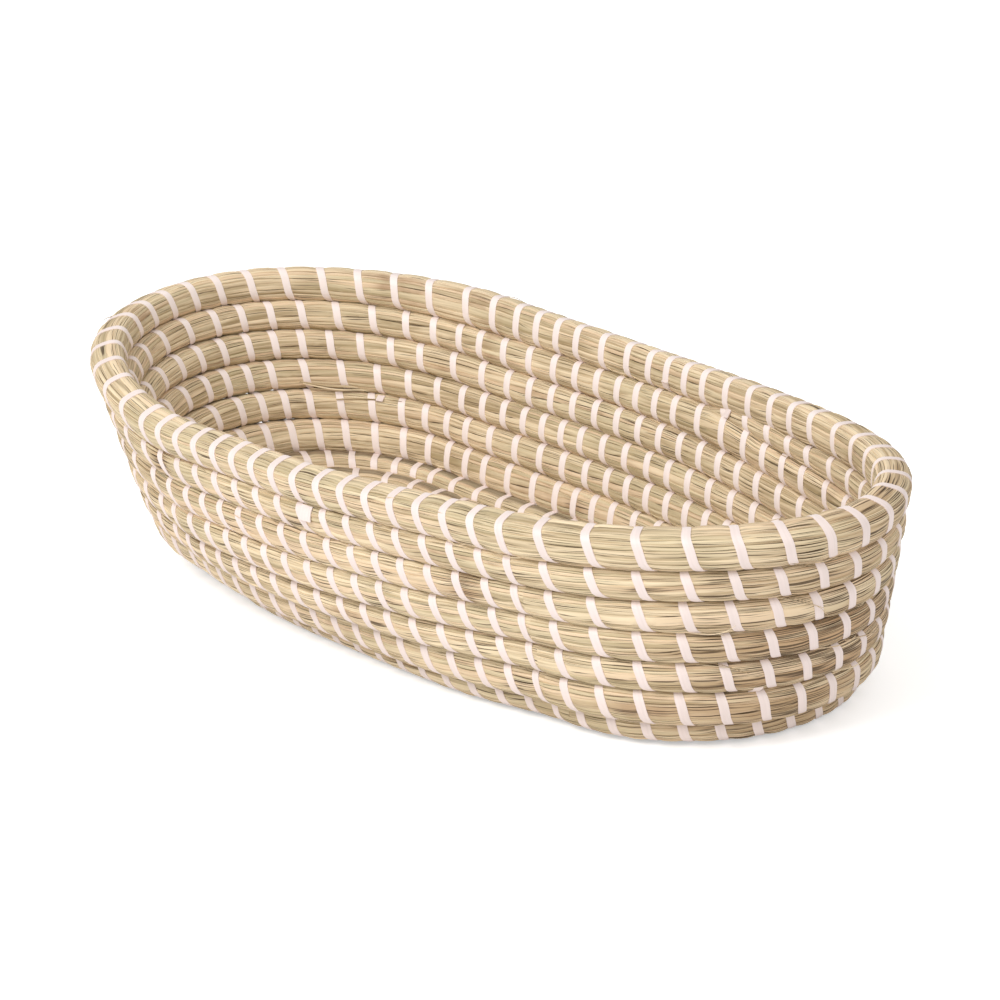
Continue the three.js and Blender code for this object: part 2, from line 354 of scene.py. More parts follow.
@dataclass(frozen=True)
class StitchRhythm:
    """How the stitches are spread along the coil.

    The densities are stitches for each loop coordinate, at places round the basket. They hold from the base's
    last loop on and make a whole number of stitches a loop, so that the rim closes as a ring.
    """

    base_pitch: float = 0.0122
    bound_from: float = 16.1
    bound_to: float = 50.0
    grid_step: float = 0.01
    density_places: tuple[float, ...] = (0, 0.5, 1, 1.5, 2, 2.5, 3, 3.5, 4)
    densities: tuple[float, ...] = (15.4, 15, 16, 15.8, 16.3, 17.8, 17.4, 16.3, 15.4)
    unevenness: float = 0.4
    uneven_span: float = 3.0
    seed: int = 21
    outside_places: tuple[float, ...] = (0, 0.3, 0.8, 1.2, 2, 3, 3.4, 3.8, 4)
    wall_shares: tuple[float, ...] = (0.58, 0.45, 0.55, 0.6, 0.64, 0.84, 0.9, 0.76, 0.58)
    rim_shares: tuple[float, ...] = (0.5, 0.45, 0.55, 0.6, 0.62, 0.66, 0.64, 0.6, 0.5)
    rim_start: float = 44.0
    sweep: float = 1.6

    def counts(self, loop: Array) -> Array:
        """Stitches up to loop coordinates, a little uneven, as hand work is, but not where the rim closes."""
        grid = np.arange(self.bound_from, self.bound_to, self.grid_step)
        density = np.interp(np.mod(grid, 4), self.density_places, self.densities)
        even = np.append(0, np.cumsum((density[1:] + density[:-1]) / 2 * self.grid_step))
        uneven = Drift(self.seed, 1, self.uneven_span).at(np.zeros(len(grid), dtype=int), even)
        return np.interp(loop, grid, even + self.unevenness * np.sin(grid * math.pi / 4) ** 2 * uneven)

    def outside(self, loop: Array) -> Array:
        """Share of a stitch's advance that falls on its way down the outside."""
        wall = np.interp(np.mod(loop, 4), self.outside_places, self.wall_shares)
        rim = np.interp(np.mod(loop, 4), self.outside_places, self.rim_shares)
        return np.where(loop < self.rim_start, wall, rim)

    def advance(self, way: Array, outside: Array) -> Array:
        """How far a stitch has advanced on its way round the bundle.

        Args:
            way: 0 on top of the bundle, a half beneath it and 1 on top again.
            outside: share of the advance on the outside.

        Returns:
            The advance from 0 to 1.
        """
        down = outside * np.clip(2 * way, 0, 1) ** self.sweep
        up = (1 - outside) * (1 - np.clip(2 - 2 * way, 0, 1) ** self.sweep)
        return np.where(way < 0.5, down, outside + up)


@dataclass
class CoilRun:
    """Turns of the coil, or the rim, as one run: middle, directions and sizes at points along its length."""

    shape: BasketShape
    rhythm: StitchRhythm
    shift: Vector
    turns: range
    steps: int = 480
    lap: float = 0.3
    tail_end: float = 1.32
    least_steps: int = 60
    turn_starts: dict[int, float] = field(default_factory=dict)

    def __post_init__(self) -> None:
        """Lays the turns end to end and measures them."""
        rows: list[Section] = []
        places: list[Array] = []
        turns: list[Array] = []
        for turn in self.turns:
            first, last = self._span(turn)
            count = max(int(self.steps * (last - first) / 4), self.least_steps)
            place = np.linspace(first, last, count + 1)
            place = place if turn == self.turns[0] else place[1:]
            rows.append(self._sections(turn, place))
            places.append(place)
            turns.append(np.full(place.shape, turn))
        self.place = np.concatenate(places)
        self.turn = np.concatenate(turns)
        middle = np.concatenate([row.middle for row in rows])
        kept = self.shape.settle(middle)
        self.middle = middle + np.array(self.shift)
        lean = np.concatenate([row.lean for row in rows])
        self.half_height = np.concatenate([row.height for row in rows]) / 2 * kept
        self.half_width = np.concatenate([row.width for row in rows]) / 2
        self.length = np.concatenate([[0], np.cumsum(np.linalg.norm(np.diff(self.middle, axis=0), axis=1))])
        ahead = np.gradient(self.middle[:, :2], self.length, axis=0)
        ahead /= np.linalg.norm(ahead, axis=1, keepdims=True)
        out = np.column_stack([ahead[:, 1], -ahead[:, 0]])
        self.up = np.column_stack([out * lean[:, :1], lean[:, 1]])
        self.across = np.column_stack([out * lean[:, 1:], -lean[:, 0]])
        self._count_stitches()
        for turn in (*self.turns, self.turns.stop):
            self.turn_starts[turn] = float(np.interp(4 * turn, self.loop, self.length))

    def _span(self, turn: int) -> tuple[float, float]:
        """First and last place of a turn; the rim is a ring that runs on past its own start."""
        if turn == self.shape.rim:
            return -self.lap, 4 + self.lap
        first = {-1: 3.0, 0: self.shape.climb_start}.get(turn, 0.0)
        return first, self.tail_end if turn == self.shape.rim - 1 else 4.0

    def _sections(self, turn: int, place: Array) -> Section:
        """Sections of the heart, of the rim, of the wall's end or of any other turn."""
        if turn < 0:
            heart = self.shape.course(0, place)
            tip = np.clip(1 - (place - 3) / self.shape.heart_tip_run, 0, 1)
            heart.middle[:, 0] -= self.shape.heart_tip * tip
            return heart
        if turn == self.shape.rim:
            return self.shape.course(turn, np.mod(place, 4))
        if turn == self.shape.rim - 1:
            return self.shape.tail(place)
        if turn == self.shape.rim - 2:
            return self.shape.filled(place)
        return self.shape.turn(turn, place)

    def _count_stitches(self) -> None:
        """Counts the stitches: evenly in the inner base, and by the rhythm from its last loop on."""
        self.loop = 4 * self.turn + self.place
        bound = self.loop >= self.rhythm.bound_from
        start = max(self.length[~bound], default=self.rhythm.base_pitch)
        inner = max(round(start / self.rhythm.base_pitch), 1)
        counts = np.where(bound, inner + self.rhythm.counts(self.loop), self.length / start * inner)
        self.count = np.maximum.accumulate(counts + np.arange(len(counts)) * 1e-9)

    def at(self, length: Array) -> dict[str, Array]:
        """Middle, directions, sizes, loop coordinate and stitch count at lengths along the run."""
        found: dict[str, Array] = {}
        for name in ("middle", "up", "across"):
            parts = [np.interp(length, self.length, part) for part in getattr(self, name).T]
            found[name] = np.stack(parts, axis=-1)
        for name in ("half_height", "half_width", "count", "loop"):
            found[name] = np.interp(length, self.length, getattr(self, name))
        rate = np.interp(length, self.length, np.gradient(self.count, self.length))
        found["pitch"] = 1 / np.maximum(rate, 1)
        return found

    def stitches(self, start: float, end: float) -> int:
        """Whole stitches between two lengths along the run."""
        first, last = np.interp([start, end], self.length, self.count)
        return round(last - first)

    def length_at(self, count: Array) -> Array:
        """Length along the run at a stitch count."""
        return np.interp(count, self.count, self.length)


@dataclass(frozen=True)
class Profile:
    """Rounded oblong section of a bundle, by an angle from the outward direction."""

    power: float = 2.9

    def point(self, found: dict[str, Array], angle: Array, proud: Array) -> Array:
        """Points on the section, or a little outside it.

        Args:
            found: what CoilRun.at gives for the points.
            angle: angle from the outward direction, a quarter turn being up.
            proud: distance outside the section.

        Returns:
            Points in the row frame.
        """
        cos, sin = np.cos(angle), np.sin(angle)
        wide, high = found["half_width"], found["half_height"]
        share = 2 / self.power
        flat = wide * np.sign(cos) * np.abs(cos) ** share
        tall = high * np.sign(sin) * np.abs(sin) ** share
        slope_flat = np.sign(cos) * np.abs(cos) ** (2 - share) / wide
        slope_tall = np.sign(sin) * np.abs(sin) ** (2 - share) / high
        slope = np.hypot(slope_flat, slope_tall)
        flat = flat + proud * slope_flat / slope
        tall = tall + proud * slope_tall / slope
        return found["middle"] + found["across"] * flat[..., None] + found["up"] * tall[..., None]


@dataclass(frozen=True)
class Ageing:
    """Where the stalks have turned brown and split, as loop coordinates, half-lengths and strengths."""

    spots: tuple[tuple[float, float, float], ...] = (
        (20.45, 0.25, 0.6),
        (24.45, 0.22, 0.6),
        (28.47, 0.22, 1.0),
        (32.47, 0.22, 1.0),
        (36.45, 0.2, 0.6),
        (40.45, 0.18, 0.5),
        (44.55, 0.2, 0.5),
        (39.05, 0.03, 0.9),
        (35.87, 0.035, 0.9),
        (37.2, 0.2, 0.4),
        (33.4, 0.2, 0.5),
    )

    def at(self, loop: Array) -> Array:
        """Age from 0 to 1 at loop coordinates."""
        parts = [strength * np.exp(-(((loop - place) / half) ** 2)) for place, half, strength in self.spots]
        return np.clip(np.sum(parts, axis=0), 0, 1)


class Socket:
    """A shader socket whose operators add Math nodes."""

    def __init__(self, shader: "Shader", socket: bpy.types.NodeSocket) -> None:
        """Keeps the socket with the shader that it belongs to."""
        self.shader = shader
        self.socket = socket

    def _math(self, operation: str, first: Any, second: Any) -> "Socket":
        """Adds one Math node."""
        return self.shader.node("ShaderNodeMath", {"operation": operation}, {0: first, 1: second})

    def __add__(self, other: Any) -> "Socket":
        """Sum."""
        return self._math("ADD", self, other)

    def __radd__(self, other: Any) -> "Socket":
        """Sum with the number first."""
        return self._math("ADD", other, self)

    def __sub__(self, other: Any) -> "Socket":
        """Difference."""
        return self._math("SUBTRACT", self, other)

    def __rsub__(self, other: Any) -> "Socket":
        """Difference with the number first."""
        return self._math("SUBTRACT", other, self)

    def __mul__(self, other: Any) -> "Socket":
        """Product."""
        return self._math("MULTIPLY", self, other)

    def __rmul__(self, other: Any) -> "Socket":
        """Product with the number first."""
        return self._math("MULTIPLY", other, self)


class Shader:
    """A material's node tree, written with one method for every node."""

    def __init__(self, name: str) -> None:
        """Starts a material with an empty tree."""
        self.material = bpy.data.materials.new(name)
        self.material.use_nodes = True
        self.tree = self.material.node_tree
        self.tree.nodes.clear()

    def node(
        self,
        kind: str,
        settings: Optional[dict[str, Any]] = None,
        sockets: Optional[dict[Union[int, str], Any]] = None,
        output: Union[int, str] = 0,
    ) -> Socket:
        """Adds a node.

        Args:
            kind: the node's type.
            settings: its properties; a ramp's stops are given as "stops".
            sockets: values or links of its inputs, by number or name.
            output: the output that is handed on.

        Returns:
            That output.
        """
        node = self.tree.nodes.new(kind)
        for name, value in (settings or {}).items():
            if name == "stops":
                self._set_stops(node, value)
            else:
                setattr(node, name, value)
        for name, value in (sockets or {}).items():
            if isinstance(value, Socket):
                self.tree.links.new(value.socket, node.inputs[name])
            else:
                node.inputs[name].default_value = value
        return Socket(self, node.outputs[output]) if len(node.outputs) else Socket(self, node.inputs[0])

    @staticmethod
    def _set_stops(node: bpy.types.Node, stops: list[tuple[float, tuple[float, ...]]]) -> None:
        """Sets the stops of a colour ramp."""
        elements = node.color_ramp.elements
        while len(elements) < len(stops):
            elements.new(1.0)
        for element, (position, colour) in zip(elements, stops):
            element.position = position
            element.color = colour

    def attribute(self, name: str) -> Socket:
        """A number kept on the mesh."""
        return self.node("ShaderNodeAttribute", {"attribute_name": name}, output="Fac")

    def noise(self, vector: Socket, scale: float, detail: float = 2.0) -> Socket:
        """Noise from 0 to 1."""
        sockets = {"Vector": vector, "Scale": scale, "Detail": detail}
        return self.node("ShaderNodeTexNoise", None, sockets)

    def stretched(self, vector: Socket, scale: tuple[float, ...]) -> Socket:
        """A coordinate scaled along its axes."""
        return self.node("ShaderNodeMapping", None, {"Vector": vector, "Scale": scale})

    def ramp(self, value: Socket, low: float, high: float) -> Socket:
        """0 below the low value, 1 above the high one and smooth between."""
        settings = {"interpolation_type": "SMOOTHSTEP"}
        return self.node("ShaderNodeMapRange", settings, {"Value": value, "From Min": low, "From Max": high})

    def mix(self, factor: Any, first: Any, second: Any, blend: str = "MIX") -> Socket:
        """Mixes two colours."""
        settings = {"data_type": "RGBA", "blend_type": blend}
        return self.node("ShaderNodeMix", settings, {0: factor, 6: first, 7: second}, output=2)

    def bump(self, height: Socket, strength: float, distance: float) -> Socket:
        """A normal that follows small heights."""
        sockets = {"Strength": strength, "Distance": distance, "Height": height}
        return self.node("ShaderNodeBump", None, sockets)

    def surface(self, colour: Socket, roughness: Socket, normal: Socket, specular: float) -> Socket:
        """A surface without metal or clear coat."""
        sockets = {"Base Color": colour, "Roughness": roughness, "Normal": normal}
        return self.node("ShaderNodeBsdfPrincipled", None, {**sockets, "Specular IOR Level": specular})

    def finish(self, surface: Socket) -> bpy.types.Material:
        """Links the surface to the material's output."""
        self.node("ShaderNodeOutputMaterial", None, {"Surface": surface})
        return self.material


@dataclass(frozen=True)
class SeagrassFinish:
    """Dried seagrass: straw and greenish stalks with peach and brown ones among them, and painted shade in
    the grooves, the nooks between courses and fine splits.
    """

    dark: tuple[float, ...] = (0.38, 0.275, 0.145, 1)
    light: tuple[float, ...] = (0.86, 0.7, 0.475, 1)
    green: tuple[float, ...] = (0.53, 0.455, 0.27, 1)
    peach: tuple[float, ...] = (0.78, 0.56, 0.37, 1)
    brown: tuple[float, ...] = (0.36, 0.22, 0.12, 1)
    old: tuple[float, ...] = (0.5, 0.315, 0.17, 1)
    shadow: tuple[float, ...] = (0.09, 0.055, 0.026, 1)
    fibre_scale: tuple[float, ...] = (2300, 30, 1)
    thread_scale: tuple[float, ...] = (3300, 42, 1)
    streak_scale: tuple[float, ...] = (900, 16, 1)
    cloud_scale: float = 24.0
    patch_scale: float = 46.0

    def build(self) -> bpy.types.Material:
        """Makes the material."""
        shader = Shader("seagrass")
        place = shader.node("ShaderNodeTexCoord", output="Object")
        run = shader.node("ShaderNodeUVMap", {"uv_map": "UVMap"})
        tone = shader.attribute("tone")
        hue = shader.attribute("hue")
        painted_crevice_shade = shader.attribute("painted_crevice_shade")
        aged = shader.attribute("aged")
        fibre = shader.noise(shader.stretched(run, self.fibre_scale), 1.0, 3.0)
        thread = shader.noise(shader.stretched(run, self.thread_scale), 1.0, 1.0)
        streak = shader.noise(shader.stretched(run, self.streak_scale), 1.0, 2.0)
        cloud = shader.noise(place, self.cloud_scale, 2.0)
        patch = shader.noise(place, self.patch_scale, 3.0)
        light = shader.ramp(0.3 * tone + 1.1 * fibre + 0.8 * streak, 0.5, 1.26)
        colour = shader.mix(light, self.dark, self.light)
        greenish = shader.ramp(cloud - 0.3 * hue, 0.3, 0.6)
        colour = shader.mix(greenish * 0.4, colour, self.green)
        warm = shader.ramp(hue + 0.5 * patch, 0.78, 1.3)
        colour = shader.mix(warm * 0.5, colour, self.peach)
        stain = shader.ramp(patch + 0.12 * hue - 0.1 * tone, 0.68, 0.88)
        colour = shader.mix(stain * 0.6, colour, self.brown)
        worn = shader.ramp(streak + 0.3 * tone, 0.62, 0.38)
        colour = shader.mix(aged * (0.3 + 0.6 * worn), colour, self.old)
        # Painted shade: thin split lines along the stalks, darkened almost to the shadow colour.
        painted_split_shade = shader.ramp(thread - 0.14 * aged, 0.41, 0.33)
        colour = shader.mix(painted_split_shade * 0.92, colour, self.shadow)
        # Painted shade: the grooves between stalks and the nooks between courses are darkened towards the
        # shadow colour.
        colour = shader.mix(shader.ramp(painted_crevice_shade, 0.12, 0.75) * 0.9, colour, self.shadow)
        bump = shader.bump(fibre * 0.7 + streak, strength=0.4, distance=0.0003)
        return shader.finish(shader.surface(colour, 0.5 + 0.25 * fibre, bump, specular=0.35))


@dataclass(frozen=True)
class StripFinish:
    """Flat white plastic strip with a satin sheen and faint lengthwise lines."""

    white: tuple[float, ...] = (0.86, 0.73, 0.685, 1)
    grey: tuple[float, ...] = (0.79, 0.67, 0.625, 1)
    # Lighter white for the faces that turn to the basket's inside.
    inner_white: tuple[float, ...] = (0.93, 0.815, 0.765, 1)
    line_scale: tuple[float, ...] = (1400, 40, 1)
    cloud_scale: float = 60.0

    def build(self) -> bpy.types.Material:
        """Makes the material."""
        shader = Shader("binding_strip")
        run = shader.node("ShaderNodeUVMap", {"uv_map": "UVMap"})
        place = shader.node("ShaderNodeTexCoord", output="Object")
        line = shader.noise(shader.stretched(run, self.line_scale), 1.0, 2.0)
        cloud = shader.noise(place, self.cloud_scale, 2.0)
        colour = shader.mix(shader.ramp(line * 0.6 + cloud * 0.5, 0.4, 0.75), self.grey, self.white)
        # Lighter white where the strip faces the basket's inside.
        colour = shader.mix(shader.attribute("inner") * 0.9, colour, self.inner_white)
        bump = shader.bump(line, strength=0.12, distance=0.0002)
        return shader.finish(shader.surface(colour, 0.36 + 0.12 * line, bump, specular=0.4))


@dataclass(frozen=True)
class FloorFinish:
    """White studio floor that keeps the basket's shadow."""

    white: tuple[float, ...] = (0.93, 0.93, 0.93, 1)
    glow: float = 0.42

    def build(self) -> bpy.types.Material:
        """Makes the material."""
        shader = Shader("studio_floor")
        path = shader.node("ShaderNodeLightPath", output="Is Camera Ray")
        matt = shader.node("ShaderNodeBsdfDiffuse", None, {"Color": self.white})
        shine = shader.node("ShaderNodeEmission", None, {"Color": (1, 1, 1, 1), "Strength": path * self.glow})
        surface = shader.node("ShaderNodeAddShader", None, {0: matt, 1: shine})
        return shader.finish(surface)


class Workbench:
    """Operators that every piece uses."""

    SMOOTH_ANGLE: ClassVar[float] = math.radians(60)

    @staticmethod
    def clear() -> None:
        """Deselects everything, the CAD nodes included."""
        if bpy.context.object is not None and bpy.context.object.mode != "OBJECT":
            bpy.ops.object.mode_set(mode="OBJECT")
        bpy.ops.object.select_all(action="DESELECT")

    @classmethod
    def blank(cls, name: str, columns: int, rows: int) -> bpy.types.Object:
        """Adds a flat grid as the blank of a wound piece.

        Args:
            name: the piece's name.
            columns: faces across the blank.
            rows: faces along it.

        Returns:
            The blank, selected and active.
        """
        cls.clear()
        bpy.ops.mesh.primitive_grid_add(x_subdivisions=columns, y_subdivisions=rows, size=1.0)
        blank = bpy.context.object
        blank.name = name
        blank.data.name = name
        return blank

    @staticmethod
    def cells(blank: bpy.types.Object, columns: int, rows: int) -> tuple[Array, Array]:
        """Column and row of every point of a flat blank."""
        flat = np.empty(len(blank.data.vertices) * 3)
        blank.data.vertices.foreach_get("co", flat)
        flat = flat.reshape(-1, 3)
        column = np.rint((flat[:, 0] + 0.5) * columns).astype(int)
        row = np.rint((flat[:, 1] + 0.5) * rows).astype(int)
        return column, row

    @staticmethod
    def place_points(piece: bpy.types.Object, points: Array) -> None:
        """Moves a blank's points to their places on the basket."""
        piece.data.vertices.foreach_set("co", np.ascontiguousarray(points, dtype=np.float32).ravel())
        piece.data.update()

    @staticmethod
    def stretch_uv(piece: bpy.types.Object, across: Array, along: float, folded: bool = False) -> None:
        """Gives a blank's map the piece's real length, and the real place of each column across it.

        Args:
            piece: the piece that was made from the blank.
            across: place of each column across the piece.
            along: length of the piece.
            folded: whether the map runs on from the middle to both ends, so that a ring has no seam.
        """
        layer = piece.data.uv_layers.active
        layer.name = "UVMap"
        flat = np.empty(len(layer.data) * 2, dtype=np.float32)
        layer.data.foreach_get("uv", flat)
        flat = flat.reshape(-1, 2)
        column = np.rint(flat[:, 0] * (len(across) - 1)).astype(int)
        share = np.abs(flat[:, 1] - 0.5) if folded else flat[:, 1]
        flat = np.column_stack([across[column], share * along]).astype(np.float32)
        layer.data.foreach_set("uv", np.ascontiguousarray(flat).ravel())

    @staticmethod
    def keep(piece: bpy.types.Object, name: str, values: Array) -> None:
        """Keeps a number at each point for the material."""
        attribute = piece.data.attributes.new(name, "FLOAT", "POINT")
        attribute.data.foreach_set("value", np.ascontiguousarray(values, dtype=np.float32))

    @staticmethod
    def face_outwards() -> None:
        """Turns the faces of the active piece outwards."""
        bpy.ops.object.mode_set(mode="EDIT")
        bpy.ops.mesh.select_all(action="SELECT")
        bpy.ops.mesh.normals_make_consistent(inside=False)
        bpy.ops.object.mode_set(mode="OBJECT")

    @classmethod
    def close_tube(cls) -> None:
        """Joins the seam of a rolled blank, fills its two ends and turns its faces outwards."""
        bpy.ops.object.mode_set(mode="EDIT")
        bpy.ops.mesh.select_all(action="SELECT")
        bpy.ops.mesh.remove_doubles(threshold=1e-7)
        bpy.ops.mesh.select_all(action="DESELECT")
        bpy.ops.mesh.select_mode(type="EDGE")
        bpy.ops.mesh.select_non_manifold(extend=False, use_wire=False, use_multi_face=False, use_verts=False)
        bpy.ops.mesh.fill_holes(sides=0)
        cls.face_outwards()

    @classmethod
    def join(cls, made: list[bpy.types.Object], name: str) -> bpy.types.Object:
        """Joins small pieces into one and leaves it selected."""
        cls.clear()
        for piece in made:
            piece.select_set(True)
        bpy.context.view_layer.objects.active = made[0]
        bpy.ops.object.join()
        made[0].name = name
        made[0].data.name = name
        return made[0]

    @staticmethod
    def thicken(piece: bpy.types.Object, thickness: float) -> None:
        """Gives a wound strip its thickness."""
        solid = piece.modifiers.new("thickness", "SOLIDIFY")
        solid.thickness = thickness
        solid.offset = 0.0
        solid.use_even_offset = False
        bpy.ops.object.modifier_apply(modifier=solid.name)

    @classmethod
    def dress(cls, piece: bpy.types.Object, material: bpy.types.Material, slot: Slot, *nodes: str) -> None:
        """Gives a piece its material and its body, and hides the nodes that it stands for."""
        piece.data.materials.clear()
        piece.data.materials.append(material)
        bpy.ops.object.shade_smooth_by_angle(angle=cls.SMOOTH_ANGLE)
        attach(piece, ROOT)
        if nodes:
            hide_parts(*nodes)


@dataclass
class Bundle:
    """A length of the seagrass bundle, whose skin is made of stalks side by side."""

    SHARES: ClassVar[tuple[float, ...]] = (0.0, 0.1, 0.5, 0.9)

    name: str
    node: str
    run: CoilRun
    start: float
    end: float
    stalks: int
    row_length: float = 0.0018
    least_rows: int = 8
    lap_rows: int = 2
    lap_sunk: float = 0.00004
    edge_spread: float = 0.22
    edge_drifts: tuple[float, float] = (0.15, 0.1)
    crown: float = 0.00016
    crown_share: float = 0.06
    crown_flank: float = 0.6
    groove: float = 0.0004
    groove_least: float = 0.3
    lift: float = 0.0002
    pinch: float = 0.0003
    swell: float = 0.00012
    hold: float = 0.72
    hold_run: float = 0.0026
    beside: float = 0.003
    beside_run: float = 0.0015
    part_drift: float = 1.5
    part_start: float = -0.1
    part_beside: float = 0.3
    part_aged: float = 0.5
    nook_shade: float = 0.55
    nook_start: float = 0.9
    tone_usual: float = 0.35
    tone_drift: float = 0.4
    hue_drift: float = 0.5
    shelter: float = 0.3
    roundness: float = 0.86
    twist: float = 4.0
    period: int = 0
    seed: int = 11
    profile: Profile = field(default_factory=Profile)
    ageing: Ageing = field(default_factory=Ageing)

    def _rows(self) -> tuple[Array, Array]:
        """Lengths of the rows along the coil, and how deep each row is sunk into the next piece."""
        count = max(int(round((self.end - self.start) / self.row_length)), self.least_rows)
        spacing = (self.end - self.start) / count
        first = self.lap_rows if self.start > 0 else 0
        last = self.lap_rows if self.end < self.run.length[-1] - 1e-6 else 0
        index = np.arange(-first, count + last + 1)
        sunk = np.where((index < 0) | (index > count), self.lap_sunk, 0.0)
        return self.start + index * spacing, sunk

    def _phase(self, found: dict[str, Array], angle: Array) -> Array:
        """Stitches passed at points of the skin, a whole number being the middle of a stitch."""
        way = np.mod((math.pi / 2 - angle) / (2 * math.pi), 1.0)
        rhythm = self.run.rhythm
        phase = found["count"] - rhythm.advance(way, rhythm.outside(found["loop"]))
        return np.mod(phase, self.period) if self.period else phase

    def _drift(self, trait: Trait, stalk: Array, phase: Array) -> Array:
        """Drift of a trait, at stalks and stitch counts."""
        number, span = trait.value
        return Drift(self.seed + number, self.stalks, span).at(stalk, phase)

    def _edges(self, lengths: Array) -> Array:
        """Angles of the grooves between the stalks, for every row, with the first one repeated at the end."""
        usual = np.random.default_rng(self.seed).uniform(-self.edge_spread, self.edge_spread, self.stalks)
        stalk, row = np.meshgrid(np.arange(self.stalks), np.arange(len(lengths)), indexing="ij")
        found = {name: value[row] for name, value in self.run.at(lengths).items()}
        spacing = 2 * math.pi / self.stalks
        plain = spacing * stalk + self.twist * lengths[row]
        phase = self._phase(found, plain)
        short, long = self.edge_drifts
        drift = short * self._drift(Trait.EDGE_SHORT, stalk, phase)
        drift += long * self._drift(Trait.EDGE_LONG, stalk, phase)
        edges = plain + spacing * (usual[stalk] + drift)
        return np.concatenate([edges, edges[:1] + 2 * math.pi])

    def build(self, material: bpy.types.Material) -> bpy.types.Object:
        """Rolls a flat blank into the bundle and gives its stalks their relief.

        Args:
            material: the seagrass.

        Returns:
            The finished piece.
        """
        lengths, sunk = self._rows()
        columns, rows = self.stalks * len(Column), len(lengths) - 1
        piece = Workbench.blank(self.name, columns, rows)
        column, row = Workbench.cells(piece, columns, rows)
        stalk = column // len(Column) % self.stalks
        kind = column % len(Column)
        lap = (column == columns).astype(int)
        edges = self._edges(lengths)
        low = edges[stalk, row] + lap * 2 * math.pi
        high = edges[stalk + 1, row] + lap * 2 * math.pi
        share = np.choose(kind, self.SHARES)
        angle = low + (high - low) * share
        found = self.run.at(lengths[row])
        phase = self._phase(found, angle)
        proud, painted_crevice_shade = self._relief(found, phase, stalk, kind, high - low, self._painted_nook_shade(found, angle))
        Workbench.place_points(piece, self.profile.point(found, angle, proud - sunk[row]))
        rng = np.random.default_rng(self.seed + 9)
        tone_usual = rng.uniform(-1, 1, self.stalks)
        hue_usual = rng.uniform(0, 1, self.stalks)
        drifts = self._drift(Trait.TONE_SHORT, stalk, phase) + self._drift(Trait.TONE_LONG, stalk, phase)
        hue = hue_usual[stalk] + self.hue_drift * self._drift(Trait.HUE, stalk, phase)
        Workbench.keep(piece, "tone", self.tone_usual * tone_usual[stalk] + self.tone_drift * drifts)
        Workbench.keep(piece, "hue", np.clip(hue, 0, 1))
        # Painted shade of the grooves between stalks and the nooks between courses, for the material.
        Workbench.keep(piece, "painted_crevice_shade", painted_crevice_shade)
        sheltered = self.shelter * np.clip(-np.cos(angle), 0, 1)
        Workbench.keep(piece, "aged", self.ageing.at(found["loop"]) - sheltered)
        girth = 4 * float(np.mean(found["half_width"] + found["half_height"])) * self.roundness
        across = (np.arange(self.stalks)[:, None] + np.array(self.SHARES)).ravel() / self.stalks
        along = float(lengths[-1] - lengths[0])
        Workbench.stretch_uv(piece, girth * np.append(across, 1.0), along, folded=self.period > 0)
        Workbench.close_tube()
        Workbench.dress(piece, material, Slot.SEAGRASS, self.node)
        return piece

    def _painted_nook_shade(self, found: dict[str, Array], angle: Array) -> Array:
        """Painted shade at points in the nook between two courses; the rim has none on top."""
        up = np.sin(angle)
        facing = np.where(found["loop"] < self.run.rhythm.rim_start - 1, np.abs(up), -up)
        return self.nook_shade * np.clip((facing - self.nook_start) / (1 - self.nook_start), 0, 1)

    def _relief(
        self, found: dict[str, Array], phase: Array, stalk: Array, kind: Array, spread: Array, painted_nook_shade: Array
    ) -> tuple[Array, Array]:
        """Height of every point over the plain section, and the painted shade of the grooves and nooks there.

        Args:
            found: what CoilRun.at gives for the points.
            phase: the stitches passed at the points.
            stalk: the stalk that each point is on.
            kind: the column of the stalk, as numbered in Column.
            spread: the angle that the stalk takes up.
            painted_nook_shade: the painted shade of the nook between two courses at each point.

        Returns:
            The heights, and the painted shade of the grooves and nooks, from 0 to 1.
        """
        off = (phase - np.rint(phase)) * found["pitch"]
        held = np.exp(-((off / self.hold_run) ** 2))
        beside = np.exp(-(((np.abs(off) - self.beside) / self.beside_run) ** 2))
        own = self.lift * self._drift(Trait.LIFT, stalk, phase)
        other = self.lift * self._drift(Trait.LIFT, np.mod(stalk - 1, self.stalks), phase)
        size = found["half_width"] + found["half_height"]
        crown = np.minimum(self.crown, self.crown_share * spread * size)
        parted = self.part_drift * self._drift(Trait.PARTING, stalk, phase) + self.part_beside * beside
        parted = np.clip(parted + self.part_start + self.part_aged * self.ageing.at(found["loop"]), 0, 1)
        deep = self.groove * (self.groove_least + (1 - self.groove_least) * parted)
        flank = own + self.crown_flank * crown
        heights = [np.minimum(own, other) - deep, flank, own + crown, flank]
        loose = 1 - self.hold * held
        # Painted shade: the groove column where the stalks part, and the nooks between courses.
        painted_crevice_shade = np.maximum((kind == Column.GROOVE.value) * parted * loose, painted_nook_shade)
        return np.choose(kind, heights) * loose + self.swell * (1 - held) - self.pinch * held, painted_crevice_shade


